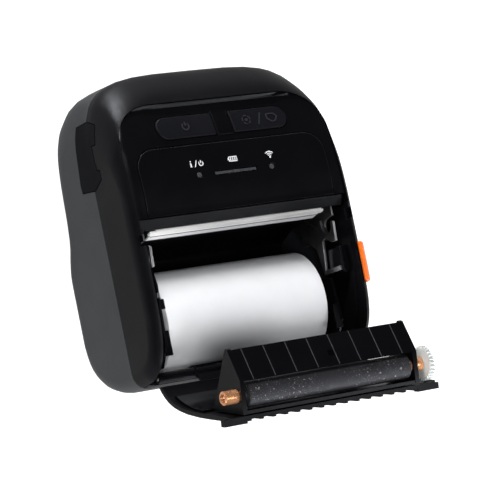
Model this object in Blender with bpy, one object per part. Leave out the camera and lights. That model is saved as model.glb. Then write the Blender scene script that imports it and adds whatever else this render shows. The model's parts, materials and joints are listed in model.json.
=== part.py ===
"""Mobile receipt printer, modelled as an assembly: case, drop-in roll bay, hinged lid with the
platen roller, print head, latch, gear train, battery and belt clip.

The printer lies on its back. +X is to the right of its front face, +Y runs up the body from the
lid's hinge end to the button end, and +Z comes out of the front face. The origin is the middle of
the flat back face. Everything below is written in millimetres from the hinge end, and the helpers
turn it into metres. The lid is drawn closed and hangs on an empty that turns it open."""

import math

import bmesh
import bpy
import numpy as np
from mathutils import Matrix, Vector

MM = 0.001
GAP = 0.3                    # clearance between neighbouring pieces
ORIGIN_UP = 40.5             # middle of the flat back face, above the hinge end

# Case
HALF_WIDTH = 55.0
EDGE_RADIUS = 7.0
WALL = 2.2
SEAM_Z = 42.3
SHOULDER_UP = 80.0           # the plan outline starts to narrow here
CROWN_POWER = (4.3, 8.7)     # superellipse exponents of the button end: front shell, deep rear
CROWN_BLEND = 20.0           # the exponent changes over this depth behind the seam
CHEEK_INNER = 51.0           # the lid lies between the two cheeks
BAY_TOP = 62.0               # the lid opening ends here, under the exit guide
CASE_SIDE = [                # side outline (up, out), once round from the back face
    (24, 0), (40, 0), (54, 0.1), (62, 2.2), (69, 5), (78, 6.4), (90, 7), (102, 8), (112.5, 10),
    (120, 13.8), (125.2, 20.6), (129, 29), (131.8, 37.5), (132.5, 43.5), (130.2, 49),
    (121, 58.3), (110.6, 64.4), (98, 67), (84, 69), (68, 70), (50, 69.8), (32, 69.7), (21, 68.9),
    (12, 66.4), (5.4, 61.8), (1.2, 54.8), (-0.5, 46), (-1.0, 36), (0.1, 24), (4.3, 12.0), (12.6, 3.4),
]
LID_SIDE = [                 # side outline of the lid, a little below the cheeks
    (24, 20), (60, 20), (84, 26), (92, 40), (90, 56), (80, 65), (68, 66.9), (55, 66.8),
    (45, 66.6), (34.4, 66.1), (23.4, 64.8), (14, 61.9), (7.0, 56.4), (3.0, 49), (2.0, 40), (6, 28),
]
LID_WALL = 1.5

# Lid and platen, drawn closed
HINGE = (2.0, 51.5)
LID_OPEN_DEG = 100.5
LID_HALF = CHEEK_INNER - GAP
LID_TOP = 59.7
LID_LOW_Z = 54.6
PLATEN = (54.9, 57.5)
PLATEN_RADIUS = 5.3
PLATEN_HALF = 39.4
BUSH_RADIUS = 2.85
SHAFT_RADIUS = 1.6
BRACKET_IN = 41.2
BRACKET_OUT = 43.2

# Paper
ROLL = (25.6, 31.8)
ROLL_RADIUS = 22.8
ROLL_HALF = 39.8
CORE_RADIUS = 8.0
TROUGH_RADIUS = 23.4

# Drive
TOOTH_MODULE = 0.5
PLATEN_TEETH = 28
TRANSFER_TEETH = 20
DRIVE_TEETH = 32
PINION_TEETH = 12
MOTOR = (78.5, 38.0)
MOTOR_RADIUS = 9.0
GEAR_IN = 47.9
GEAR_OUT = 50.2

# Latch
LATCH = (64.5, 29.0)
HOOK_IN = 45.2
HOOK_OUT = 46.4
FRAME_IN = 46.7
FRAME_OUT = 47.5

# Front face
RIM_HALF = 51.8              # opening in the shell round the recessed face
RIM_TOP = 116.0
RIM_RADIUS = 19.0
FLOOR_HALF = 47.6            # flat part of the face, inside the sloping edge
FLOOR_TOP = 113.8
FLOOR_RADIUS = 13.0
FACE_SIDE = [                # side outline of the face (up, out)
    (58, 66.0), (66.5, 66.9), (75, 67.8), (82.6, 67.4), (91, 66.4), (99.3, 65.0), (106, 63.2),
    (110.5, 61.6), (115, 59.4), (120, 56.0),
]
BUTTON_PROUD = 0.8
PANEL_HALF = 46.3
PANEL_LOW = 67.2
PANEL_TOP = 96.0
PANEL_RADIUS = 9.0
BUTTON_IN = 4.4
BUTTON_OUT = 32.4
BUTTON_LOW = 99.3
BUTTON_TOP = 109.4
LED_UP = 82.6
LED_X = 18.0
LED_BAR_HALF = 10.2

COLOURS = {                  # name: (colour, metallic, roughness)
    "case": ((0.030, 0.031, 0.034, 1), 0.0, 0.55),
    "face": ((0.006, 0.006, 0.007, 1), 0.0, 0.35),
    "black": ((0.010, 0.010, 0.011, 1), 0.0, 0.45),
    "rubber": ((0.022, 0.022, 0.024, 1), 0.0, 0.8),
    "steel": ((0.62, 0.62, 0.63, 1), 1.0, 0.3),
    "brass": ((0.80, 0.50, 0.26, 1), 1.0, 0.25),
    "paper": ((0.86, 0.87, 0.88, 1), 0.0, 0.8),
    "card": ((0.45, 0.33, 0.22, 1), 0.0, 0.9),
    "nylon": ((0.85, 0.86, 0.85, 1), 0.0, 0.4),
    "orange": ((0.95, 0.16, 0.01, 1), 0.0, 0.35),
    "board": ((0.02, 0.12, 0.05, 1), 0.0, 0.5),
    "lens": ((0.05, 0.05, 0.055, 1), 0.0, 0.2),
}


# ---------------------------------------------------------------- scene and small helpers

def clear_scene():
    for item in list(bpy.data.objects):
        bpy.data.objects.remove(item, do_unlink=True)


def make_collection(name):
    collection = bpy.data.collections.new(name)
    bpy.context.scene.collection.children.link(collection)
    return collection


def make_material(name):
    colour, metallic, roughness = COLOURS[name]
    material = bpy.data.materials.new(name)
    material.use_nodes = True
    shader = material.node_tree.nodes["Principled BSDF"]
    shader.inputs["Base Color"].default_value = colour
    shader.inputs["Metallic"].default_value = metallic
    shader.inputs["Roughness"].default_value = roughness
    return material


def at(x, up, out):
    """A point in metres from millimetres right, up the body and out of the back."""
    return Vector((x * MM, (up - ORIGIN_UP) * MM, out * MM))


def add_object(name, mesh, finish=None, origin=None, parent=None):
    """An object of the printer, or a cutter when it has no finish."""
    item = bpy.data.objects.new(name, mesh)
    if origin is not None:
        mesh.transform(Matrix.Translation(-origin))
        item.location = origin
    if finish:
        printer.objects.link(item)
        mesh.materials.clear()
        mesh.materials.append(materials[finish])
        mesh.set_sharp_from_angle(angle=math.radians(30))
    else:
        cutters.objects.link(item)
        item.hide_render = True
        item.display_type = "WIRE"
    if parent is not None:
        item.parent = parent
        item.location = item.location - parent.location
    return item


def finish_mesh(name, bm):
    bmesh.ops.recalc_face_normals(bm, faces=bm.faces)
    mesh = bpy.data.meshes.new(name)
    bm.to_mesh(mesh)
    bm.free()
    mesh.shade_smooth()
    return mesh


def box_mesh(name, low, high, bevel=0.0):
    """A box between two corners (x, up, out), with rounded edges where bevel is given."""
    first = at(*low)
    last = at(*high)
    bm = bmesh.new()
    bmesh.ops.create_cube(bm, size=1.0)
    bmesh.ops.scale(bm, vec=last - first, verts=bm.verts)
    bmesh.ops.translate(bm, vec=(first + last) / 2, verts=bm.verts)
    if bevel:
        bmesh.ops.bevel(bm, geom=bm.edges[:], offset=bevel * MM, segments=2, affect="EDGES")
    return finish_mesh(name, bm)


def rod_mesh(name, centre, radius, x_from, x_to, sides=32, bevel=0.0):
    """A round bar along X through centre (up, out)."""
    bm = bmesh.new()
    length = (x_to - x_from) * MM
    bmesh.ops.create_cone(bm, cap_ends=True, segments=sides, radius1=radius * MM,
                          radius2=radius * MM, depth=length)
    if bevel:
        rims = [edge for edge in bm.edges if abs(edge.verts[0].co.z - edge.verts[1].co.z) < 1e-6]
        bmesh.ops.bevel(bm, geom=rims, offset=bevel * MM, segments=2, affect="EDGES")
    turn = Matrix.Rotation(math.radians(90), 4, "Y")
    place = Matrix.Translation(at((x_from + x_to) / 2, *centre))
    bmesh.ops.transform(bm, matrix=place @ turn, verts=bm.verts)
    return finish_mesh(name, bm)


def post_mesh(name, x, up, radius, out_from, out_to, sides=24):
    """A round post along Z."""
    bm = bmesh.new()
    bmesh.ops.create_cone(bm, cap_ends=True, segments=sides, radius1=radius * MM,
                          radius2=radius * MM, depth=(out_to - out_from) * MM)
    bmesh.ops.translate(bm, vec=at(x, up, (out_from + out_to) / 2), verts=bm.verts)
    return finish_mesh(name, bm)


def outline_mesh(name, points, low, high, across):
    """A flat outline made thick: points (up, out) across X, or points (x, up) across Z."""
    curve = bpy.data.curves.new(name, "CURVE")
    curve.dimensions = "2D"
    curve.fill_mode = "BOTH"
    curve.extrude = (high - low) / 2 * MM
    spline = curve.splines.new("POLY")
    spline.points.add(len(points) - 1)
    for spot, (first, second) in zip(spline.points, points):
        spot.co = (first * MM, second * MM, 0, 1)
    spline.use_cyclic_u = True
    guide = bpy.data.objects.new(name + "_outline", curve)
    bpy.context.scene.collection.objects.link(guide)
    graph = bpy.context.evaluated_depsgraph_get()
    mesh = bpy.data.meshes.new_from_object(guide.evaluated_get(graph))
    bpy.data.objects.remove(guide)
    bm = bmesh.new()
    bm.from_mesh(mesh)
    bmesh.ops.remove_doubles(bm, verts=bm.verts, dist=1e-6)
    middle = (low + high) / 2
    if across == "X":
        place = Matrix.Translation(at(middle, 0, 0)) @ Matrix(
            ((0, 0, 1, 0), (1, 0, 0, 0), (0, 1, 0, 0), (0, 0, 0, 1)))
    else:
        place = Matrix.Translation(at(0, 0, middle))
    bmesh.ops.transform(bm, matrix=place, verts=bm.verts)
    return finish_mesh(name, bm)


def joined_mesh(name, meshes):
    """Several closed shapes in one mesh."""
    bm = bmesh.new()
    for mesh in meshes:
        bm.from_mesh(mesh)
    return finish_mesh(name, bm)


def boolean(item, other, operation):
    modifier = item.modifiers.new(operation.lower() + "_" + other.name, "BOOLEAN")
    modifier.operation = operation
    modifier.object = other
    return item


def cut(item, mesh, parent=None):
    return boolean(item, add_object(mesh.name, mesh, parent=parent), "DIFFERENCE")


def unite(item, mesh, parent=None):
    return boolean(item, add_object(mesh.name, mesh, parent=parent), "UNION")


def keep(item, mesh, parent=None):
    return boolean(item, add_object(mesh.name, mesh, parent=parent), "INTERSECT")


def arc(centre, radius, start_deg, end_deg, steps):
    """Points on an arc, angles from the first axis towards the second."""
    angles = np.radians(np.linspace(start_deg, end_deg, steps + 1))
    return [(centre[0] + radius * math.cos(a), centre[1] + radius * math.sin(a)) for a in angles]


def rounded_window(half, low, top, radius, steps=6):
    """A window (x, up) with square lower corners and round upper ones."""
    right = arc((half - radius, top - radius), radius, 0, 90, steps)
    left = arc((radius - half, top - radius), radius, 90, 180, steps)
    return [(-half, low), (half, low)] + right + left


# ---------------------------------------------------------------- the case form

def smooth_loop(points, samples=12):
    """A closed Catmull-Rom curve through the points."""
    spots = np.array(points, float)
    count = len(spots)
    result = []
    for i in range(count):
        before, here, after, later = (spots[(i + k) % count] for k in (-1, 0, 1, 2))
        for t in np.arange(samples) / samples:
            result.append(0.5 * (2 * here + (after - before) * t
                                 + (2 * before - 5 * here + 4 * after - later) * t ** 2
                                 + (3 * here - before - 3 * after + later) * t ** 3))
    return np.array(result)


def thin_out(points, tolerance):
    """Indices of the points that a polyline needs to stay within tolerance."""
    def split(first, last):
        start, end = points[first], points[last % len(points)]
        run = (end - start) / np.linalg.norm(end - start)
        between = [points[k] - start for k in range(first + 1, last)]
        offsets = [abs(run[0] * d[1] - run[1] * d[0]) for d in between]
        if not offsets or max(offsets) < tolerance:
            return [first]
        middle = first + 1 + int(np.argmax(offsets))
        return split(first, middle) + split(middle, last)
    half = len(points) // 2
    return split(0, half) + split(half, len(points))


def case_mesh(name, inset, side=None):
    """The case's outer form, moved in by inset: a loft of side outlines across the width."""
    dense = smooth_loop(side or CASE_SIDE)
    dense[:, 1] = np.maximum(dense[:, 1], 0.0)
    tangent = np.roll(dense, -1, 0) - np.roll(dense, 1, 0)
    tangent /= np.linalg.norm(tangent, axis=1)[:, None]
    inward = np.stack([-tangent[:, 1], tangent[:, 0]], 1)
    wanted = thin_out(dense, 0.1)
    loop, inward = dense[wanted], inward[wanted]
    radius = EDGE_RADIUS - inset
    flat_half = HALF_WIDTH - EDGE_RADIUS
    rounding = [flat_half + radius * math.sin(math.radians(a)) for a in (0, 18, 36, 54, 72, 90)]
    stations = [0, 18, 28, 35, 40, 44.5] + rounding
    stations = [-x for x in reversed(stations[1:])] + stations
    bm = bmesh.new()
    rings = []
    for x in stations:
        over = max(0.0, abs(x) - flat_half)
        drop = radius - math.sqrt(max(0.0, radius ** 2 - over ** 2))
        ring = loop + inward * (inset + drop)
        behind = np.clip((SEAM_Z - ring[:, 1]) / CROWN_BLEND, 0, 1)
        power = CROWN_POWER[0] + (CROWN_POWER[1] - CROWN_POWER[0]) * behind ** 2 * (3 - 2 * behind)
        narrow = (1 - (abs(x) / (HALF_WIDTH - inset + 0.3)) ** power) ** (1 / power)
        ring[:, 0] = np.where(ring[:, 0] > SHOULDER_UP,
                              SHOULDER_UP + (ring[:, 0] - SHOULDER_UP) * narrow, ring[:, 0])
        rings.append([bm.verts.new(at(x, up, out)) for up, out in ring])
    for low, high in zip(rings, rings[1:]):
        for k in range(len(low)):
            n = (k + 1) % len(low)
            bm.faces.new((low[k], low[n], high[n], high[k]))
    bm.faces.new(rings[0])
    bm.faces.new(list(reversed(rings[-1])))
    return finish_mesh(name, bm)


def case_layer(item_name, outer, inner, finish, parent=None, origin=None, side=None):
    """A piece of case skin between two insets, still to be trimmed."""
    item = add_object(item_name, case_mesh(item_name, outer, side), finish, origin=origin,
                      parent=parent)
    return cut(item, case_mesh(item_name + "_inner", inner, side), parent)


# ---------------------------------------------------------------- case

PORT_COVER = [(86.5, 31.5), (89.5, 31.0), (109.7, 33.7), (114.1, 34.6), (114.7, 42.4), (111.8, 49.4),
              (103.7, 49.2), (103.7, 46.2), (92.6, 47.7), (92.4, 49.8), (88.5, 49.8), (85.2, 43)]
BATTERY_HALF = 35.0
BATTERY_LOW = 89.0
BATTERY_Z = (19.5, 39.0)
CLIP_PIN = (109.5, 3.8)
SCREWS = [                   # (right, up, depth of the well, height of the boss)
    (-44, 98, 13.0, 28), (44, 98, 13.0, 28), (-48.6, 17, 7.0, 40), (48.6, 17, 7.0, 40),
]


def grown(points, by):
    """A counterclockwise outline with every side moved outwards by a distance."""
    spots = np.array(points, float)
    result = []
    for before, here, after in zip(np.roll(spots, 1, 0), spots, np.roll(spots, -1, 0)):
        first = (here - before) / np.linalg.norm(here - before)
        second = (after - here) / np.linalg.norm(after - here)
        out = np.array((first[1] + second[1], -first[0] - second[0]))
        result.append(tuple(here + out * by / (1 + first @ second)))
    return result


def make_front_shell():
    shell = add_object("front_shell", case_mesh("front_shell", 0), "case")
    keep(shell, box_mesh("front_half", (-70, -20, SEAM_Z + GAP / 2), (70, 150, 90)))
    cavity = case_mesh("front_cavity", WALL)
    cavity_item = add_object("front_cavity", cavity)
    keep(cavity_item, box_mesh("front_cavity_zone", (-60, BAY_TOP, 30), (60, 140, 80)))
    boolean(shell, cavity_item, "DIFFERENCE")
    cut(shell, box_mesh("lid_opening", (-CHEEK_INNER, -20, 30), (CHEEK_INNER, BAY_TOP + 5, 90)))
    window = rounded_window(RIM_HALF, BAY_TOP + 1, RIM_TOP, RIM_RADIUS, 9)
    cut(shell, outline_mesh("face_window", window, 55, 80, "Z"))
    cut(shell, outline_mesh("port_window_front", grown(PORT_COVER, 0.4), -60, -48, "X"))
    cut(shell, joined_mesh("ear_notches", [
        box_mesh("notch_right", (49, 55.9, 65.2), (53.4, 60.6, 75)),
        box_mesh("notch_left", (-53.4, 55.9, 65.2), (-49, 60.6, 75))]))
    cut(shell, box_mesh("lever_slot", (52.3, 30, 60.8), (60, 42.5, 64.4)))
    return shell


def make_rear_shell():
    shell = add_object("rear_shell", case_mesh("rear_shell", 0), "case")
    keep(shell, box_mesh("rear_half", (-70, -20, -10), (70, 150, SEAM_Z - GAP / 2)))
    cut(shell, case_mesh("rear_cavity", WALL))
    lugs = [box_mesh("clip_lug", (x, 105.5, 1.4), (x + 3, 113, 13), 0.6) for x in (-15.8, 12.8)]
    unite(shell, joined_mesh("clip_lugs", lugs))
    cut(shell, rod_mesh("clip_pin_bore", CLIP_PIN, 1.5, -20, 20, 20))
    low, high = BATTERY_Z
    half = BATTERY_HALF + GAP
    cut(shell, box_mesh("battery_slot", (-half, 112, low - GAP), (half, 140, high + GAP)))
    cut(shell, outline_mesh("port_window_rear", grown(PORT_COVER, 0.4), -60, -48, "X"))
    wells = [post_mesh("screw_well", x, up, 2.7, -5, depth) for x, up, depth, _ in SCREWS]
    bosses = [post_mesh("screw_boss", x, up, 3.6, -1, top) for x, up, _, top in SCREWS]
    boss_item = add_object("screw_bosses", joined_mesh("screw_bosses", bosses))
    keep(boss_item, case_mesh("boss_trim", 0.6))
    boolean(shell, boss_item, "UNION")
    cut(shell, joined_mesh("screw_wells", wells))
    return shell


def make_screws():
    for number, (x, up, depth, _) in enumerate(SCREWS, 1):
        seat = depth - GAP
        name = "case_screw_%d" % number
        screw = add_object(name, post_mesh(name, x, up, 2.4, seat - 2.4, seat), "steel")
        cross = [box_mesh("slot_a", (x - 1.7, up - 0.35, seat - 4), (x + 1.7, up + 0.35, seat - 1)),
                 box_mesh("slot_b", (x - 0.35, up - 1.7, seat - 4), (x + 0.35, up + 1.7, seat - 1))]
        for slot in cross:
            slot.name = name + "_" + slot.name
            cut(screw, slot)


def face_level(up):
    """Height of the recessed face's flat part."""
    spots = smooth_loop(FACE_SIDE + [(89, 0)])
    rising = spots[:12 * (len(FACE_SIDE) - 1)]
    return np.interp(up, rising[:, 0], rising[:, 1])


def case_level(x, up):
    """Height of the case's outer surface in front of the seam."""
    dense = smooth_loop(CASE_SIDE)
    front = dense[(dense[:, 1] > SEAM_Z + 1)]
    front = front[np.argsort(front[:, 0])]
    power = CROWN_POWER[0]
    narrow = (1 - np.minimum(abs(x) / (HALF_WIDTH + 0.3), 1) ** power) ** (1 / power)
    whole = np.where(up > SHOULDER_UP, SHOULDER_UP + (up - SHOULDER_UP) / narrow, up)
    over = max(0.0, abs(x) - HALF_WIDTH + EDGE_RADIUS)
    drop = EDGE_RADIUS - math.sqrt(EDGE_RADIUS ** 2 - over ** 2)
    return np.interp(whole, front[:, 0], front[:, 1]) - drop


def outside_of(x, up, half, top, radius):
    """Distance outside a window with round upper corners, negative inside."""
    a = abs(x) - (half - radius)
    b = max(up - (top - radius), 0.0)
    if a <= 0 and b <= 0:
        return a - radius
    return math.hypot(max(a, 0.0), b) - radius


def recess_level(x, up):
    """Height of the face with its edge sloping up to the shell's rim."""
    floor = float(face_level(up))
    beyond = outside_of(x, up, FLOOR_HALF, FLOOR_TOP, FLOOR_RADIUS)
    before = -outside_of(x, up, RIM_HALF, RIM_TOP, RIM_RADIUS)
    if beyond <= 0:
        return floor
    share = beyond / (beyond + max(before, 0.0) + 1e-9)
    brim = float(case_level(x, up)) - 0.5
    return floor + (brim - floor) * share ** 1.7


def face_mesh(name, above, below, x_lines, up_lines):
    """A sheet between two heights measured from the face."""
    bm = bmesh.new()
    layers = []
    for offset in (above, below):
        layers.append([[bm.verts.new(at(x, up, recess_level(x, up) + offset)) for up in up_lines]
                       for x in x_lines])
    across, along = len(x_lines) - 1, len(up_lines) - 1
    for grid in layers:
        for i in range(across):
            for j in range(along):
                bm.faces.new((grid[i][j], grid[i + 1][j], grid[i + 1][j + 1], grid[i][j + 1]))
    top, bottom = layers
    for i in range(across):
        for j in (0, along):
            bm.faces.new((top[i][j], top[i + 1][j], bottom[i + 1][j], bottom[i][j]))
    for j in range(along):
        for i in (0, across):
            bm.faces.new((top[i][j], top[i][j + 1], bottom[i][j + 1], bottom[i][j]))
    return finish_mesh(name, bm)


FACE_LINES_X = [30, 38, 43, 46, 47.6, 48.6, 49.6, 50.6, 52.6]
FACE_LINES_X = [-x for x in reversed(FACE_LINES_X)] + [-12, 12] + FACE_LINES_X
FACE_LINES_UP = [64, 70, 76, 82, 88, 93, 97, 101, 104, 106.5, 108.5, 110.2, 111.8, 113, 114, 115,
                 116.4]


def make_face():
    cover = add_object("face_cover", face_mesh("face_cover", 0, -2, FACE_LINES_X, FACE_LINES_UP),
                       "face")
    window = rounded_window(RIM_HALF - GAP, 67.0, RIM_TOP - GAP, RIM_RADIUS - GAP, 9)
    keep(cover, outline_mesh("face_outline", window, 50, 80, "Z"))
    recess = rounded_window(PANEL_HALF + GAP, 60, PANEL_TOP + GAP, PANEL_RADIUS)
    pocket = add_object("panel_pocket", face_mesh("panel_pocket", 4, -1.2, [-47.5, 0, 47.5],
                                                  FACE_LINES_UP[:9]))
    keep(pocket, outline_mesh("pocket_outline", recess, 50, 90, "Z"))
    boolean(cover, pocket, "DIFFERENCE")
    for side in (-1, 1):
        cut(cover, outline_mesh("button_hole_%d" % (side > 0), button_outline(side, GAP),
                                50, 80, "Z"))
        cut(cover, post_mesh("led_hole_%d" % (side > 0), side * LED_X, LED_UP, 1.5, 50, 80, 20))
    bar = LED_BAR_HALF + GAP
    cut(cover, box_mesh("led_bar_hole", (-bar, LED_UP - 0.9, 50), (bar, LED_UP + 0.9, 80)))

    panel = add_object("control_panel", face_mesh("control_panel", 0.15, -0.8, [-47, 0, 47],
                                                  FACE_LINES_UP[:9]), "face")
    outline = rounded_window(PANEL_HALF, PANEL_LOW, PANEL_TOP, PANEL_RADIUS - GAP)
    keep(panel, outline_mesh("panel_outline", outline, 50, 80, "Z"))
    holes = [post_mesh("panel_led_hole", s * LED_X, LED_UP, 1.5, 50, 80, 20) for s in (-1, 1)]
    holes.append(box_mesh("panel_bar_hole", (-bar, LED_UP - 0.9, 50), (bar, LED_UP + 0.9, 80)))
    cut(panel, joined_mesh("panel_holes", holes))


def make_lenses():
    for name, x in (("power_led", -LED_X), ("link_led", LED_X)):
        lens = add_object(name, face_mesh(name, -0.1, -4, [x - 2, x, x + 2], [80, 82.6, 85]),
                          "lens")
        keep(lens, post_mesh(name + "_outline", x, LED_UP, 1.2, 50, 80, 20))
    bar = add_object("battery_light", face_mesh("battery_light", -0.3, -4, [-12, 0, 12],
                                                [80, 82.6, 85]), "lens")
    keep(bar, box_mesh("battery_light_outline", (-LED_BAR_HALF, LED_UP - 0.6, 50),
                       (LED_BAR_HALF, LED_UP + 0.6, 80)))


def button_outline(side, grow=0.0):
    radius = (BUTTON_TOP - BUTTON_LOW) / 2 + grow
    middle = (BUTTON_TOP + BUTTON_LOW) / 2
    end = arc((BUTTON_OUT - radius + grow, middle), radius, -90, 90, 10)
    inner = BUTTON_IN - grow
    points = [(inner, middle - radius)] + end + [(inner, middle + radius)]
    return [(side * x, up) for x, up in points]


def make_buttons():
    for name, side in (("power_button", -1), ("feed_button", 1)):
        centre = at(side * (BUTTON_IN + BUTTON_OUT) / 2, (BUTTON_LOW + BUTTON_TOP) / 2, 63)
        middle = (BUTTON_IN + BUTTON_OUT) / 2
        lines = sorted(side * x for x in (3, middle, 34))
        button = add_object(name, face_mesh(name, BUTTON_PROUD, -3, lines, [98, 101, 104, 107, 111]),
                            "rubber", origin=centre)
        keep(button, outline_mesh(name + "_outline", button_outline(side), 50, 80, "Z"))


def make_port():
    axis = at(-55.2, 100, 31.0)
    cover = case_layer("port_cover", -0.2, 1.4, "rubber", origin=axis)
    keep(cover, outline_mesh("port_cover_outline", PORT_COVER, -60, -49, "X"))
    usb = add_object("usb_socket", box_mesh("usb_socket", (-51.4, 88.5, 35), (-44, 97, 38.4), 0.5),
                     "steel")
    cut(usb, box_mesh("usb_mouth", (-53, 89.2, 35.7), (-45.5, 96.3, 37.7)))
    jack = add_object("charge_jack", box_mesh("charge_jack", (-48.8, 101, 33), (-38, 108.5, 40), 0.5),
                      "black")
    cut(jack, rod_mesh("jack_mouth", (104.75, 36.5), 2.6, -50, -40, 20))


def make_exit():
    section = [(66.7, 67.0), (62.5, 64.7), (62.5, 63.9), (64, 63.2), (66.7, 63.2)]
    add_object("exit_guide", outline_mesh("exit_guide", section, -50.6, 50.6, "X"), "case")


HEAD_TOP = (61.9, 63.3)
HEAD_LEAN_DEG = 11.6


def leaning(mesh):
    """Turns a plate drawn in the X-Y plane, with its top edge on Y = 0, to hang from HEAD_TOP."""
    turn = Matrix.Rotation(math.radians(90 - HEAD_LEAN_DEG), 4, "X")
    mesh.transform(Matrix.Translation(at(0, *HEAD_TOP)) @ turn @ Matrix.Translation(-at(0, 0, 0)))
    return mesh


def make_tear_bar():
    """A serrated steel strip: a row of teeth along its upper edge."""
    half, pitch, tip = 41.4, 1.15, 1.0
    teeth = int(2 * half / pitch)
    start = -teeth * pitch / 2
    edge = []
    for k in range(teeth):
        x = start + k * pitch
        edge += [(x, -tip), (x + pitch / 2, 0)]
    edge.append((start + teeth * pitch, -tip))
    points = [(-42, -4.6), (42, -4.6), (42, -tip)] + edge[::-1] + [(-42, -tip)]
    add_object("tear_bar", leaning(outline_mesh("tear_bar", points, -0.8, 0, "Z")), "steel")


def make_print_head():
    plate = box_mesh("thermal_element", (-42, -10.4, -0.8), (42, -4.9, 0))
    add_object("thermal_element", leaning(plate), "steel")
    sink = leaning(box_mesh("head_sink", (-41, -15, -4.0), (41, -1.6, -1.1), 0.3))
    sink = add_object("head_sink", sink, "steel")
    fins = [box_mesh("fin_gap", (-38 + k * 8, -16, -5), (-35 + k * 8, 2, -2.4)) for k in range(10)]
    cut(sink, leaning(joined_mesh("sink_gaps", fins)))
    lip = [box_mesh("head_lip", (-42.6, -13.6, -0.8), (42.6, -11.0, -0.3), 0.1)]
    add_object("head_lip", leaning(joined_mesh("head_lip", lip)), "black")
    bracket = leaning(box_mesh("head_bracket", (-43, -15, -5.6), (43, -4, -4.4)))
    add_object("head_bracket", bracket, "steel")
    for name, x in (("head_spring_left", -24), ("head_spring_right", 24)):
        add_object(name, coil_mesh(name, x, 68.6, 52, 2.4, 0.4, 4.4, 4), "steel")
    wall = [(74.6, 47.6), (76.0, 47.6), (76.0, 57.5), (74.6, 57.5)]
    add_object("spring_wall", outline_mesh("spring_wall", wall, -43, 43, "X"), "black")


def coil_mesh(name, x, up, out, radius, wire, length, turns, per_turn=10, sides=6):
    """A compression spring along +Y, from a swept circle."""
    curve = bpy.data.curves.new(name, "CURVE")
    curve.dimensions = "3D"
    curve.bevel_depth = wire * MM
    curve.bevel_resolution = 1
    curve.use_fill_caps = True
    spline = curve.splines.new("POLY")
    steps = turns * per_turn
    spline.points.add(steps)
    for k, spot in enumerate(spline.points):
        angle = 2 * math.pi * k / per_turn
        place = at(x + radius * math.cos(angle), up + 0.5 + length * k / steps,
                   out + radius * math.sin(angle))
        spot.co = (*place, 1)
    guide = bpy.data.objects.new(name + "_path", curve)
    bpy.context.scene.collection.objects.link(guide)
    graph = bpy.context.evaluated_depsgraph_get()
    mesh = bpy.data.meshes.new_from_object(guide.evaluated_get(graph))
    bpy.data.objects.remove(guide)
    bm = bmesh.new()
    bm.from_mesh(mesh)
    bmesh.ops.remove_doubles(bm, verts=bm.verts, dist=1e-6)
    return finish_mesh(name, bm)


# ---------------------------------------------------------------- roll bay

def make_bay():
    """A trough under the roll, and a wall from it up to the print head."""
    thick = 1.2
    inner = arc(ROLL, TROUGH_RADIUS, 218, 322, 18)
    outer = arc(ROLL, TROUGH_RADIUS + thick, 322, 218, 18)
    wall_in = [(54.5, 22.5), (58.6, 33), (60.2, 46.8)]
    wall_out = [(61.4, 46.8), (59.8, 32.4), (55.4, 21.4)]
    outline = inner + wall_in + wall_out + outer
    add_object("roll_bay", outline_mesh("roll_bay", outline, -43.3, 43.3, "X"), "black")


def make_guides():
    """Black side walls of the bay, with the stops that keep the paper's edges down."""
    left = [(6, 20), (14, 9), (40, 9), (48.5, 24), (48.5, 44), (46.8, 57.5), (40, 59), (14, 57),
            (6, 50)]
    guide = add_object("left_guide", outline_mesh("left_guide", left, -44.6, -43.6, "X"), "black")
    tabs = [box_mesh("left_tab_a", (-44.2, 30, 55.6), (-41.4, 34.2, 57.6)),
            box_mesh("left_tab_b", (-44.2, 10.5, 54.8), (-41.4, 21, 56.4))]
    for tab in tabs:
        unite(guide, tab)
    right = [(6, 20), (14, 9), (40, 9), (48.5, 24), (48.5, 30), (34, 44), (32.5, 55), (14, 57),
             (6, 50)]
    guide = add_object("right_guide", outline_mesh("right_guide", right, 43.6, 44.6, "X"), "black")
    unite(guide, box_mesh("right_tab", (41.4, 10.5, 54.8), (44.2, 21, 56.4)))
    housing = box_mesh("lever_housing", (47.0, 33.5, 50), (50.7, 45.5, 61.8), 0.5)
    add_object("lever_housing", housing, "black")


def make_paper():
    origin = at(0, *ROLL)
    roll = add_object("paper_roll", rod_mesh("paper_roll", ROLL, ROLL_RADIUS, -ROLL_HALF, ROLL_HALF,
                                             56), "paper", origin=origin)
    cut(roll, rod_mesh("roll_bore", ROLL, CORE_RADIUS + GAP, -50, 50, 32))
    core = add_object("roll_core", rod_mesh("roll_core", ROLL, CORE_RADIUS, -ROLL_HALF, ROLL_HALF,
                                            32), "card", origin=origin)
    cut(core, rod_mesh("core_bore", ROLL, CORE_RADIUS - 1.5, -50, 50, 32))


# ---------------------------------------------------------------- frames, latch, drive

def mirrored_x(low, high, side):
    return (low, high) if side > 0 else (-high, -low)


def make_frames():
    seat = arc(PLATEN, 3.3, 180, 360, 10)
    outline = ([(50, 34), (87.5, 34), (87.5, 46), (72, 52), (66.5, 61.5), (58.8, 61.5)]
               + list(reversed(seat)) + [(52.2, 60), (49, 60)])
    axles = ((*drive_centres()["drive"], 1.5), (*drive_centres()["transfer"], 1.5))
    for name, side in (("left_frame", -1), ("right_frame", 1)):
        low, high = mirrored_x(FRAME_IN, FRAME_OUT, side)
        frame = add_object(name, outline_mesh(name, outline, low, high, "X"), "steel")
        if side > 0:
            holes = [rod_mesh("axle_hole", (up, out), radius, 40, 50, 16)
                     for up, out, radius in axles]
            holes.append(rod_mesh("motor_hole", MOTOR, 3.2, 40, 50, 20))
            cut(frame, joined_mesh("frame_holes", holes))


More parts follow.
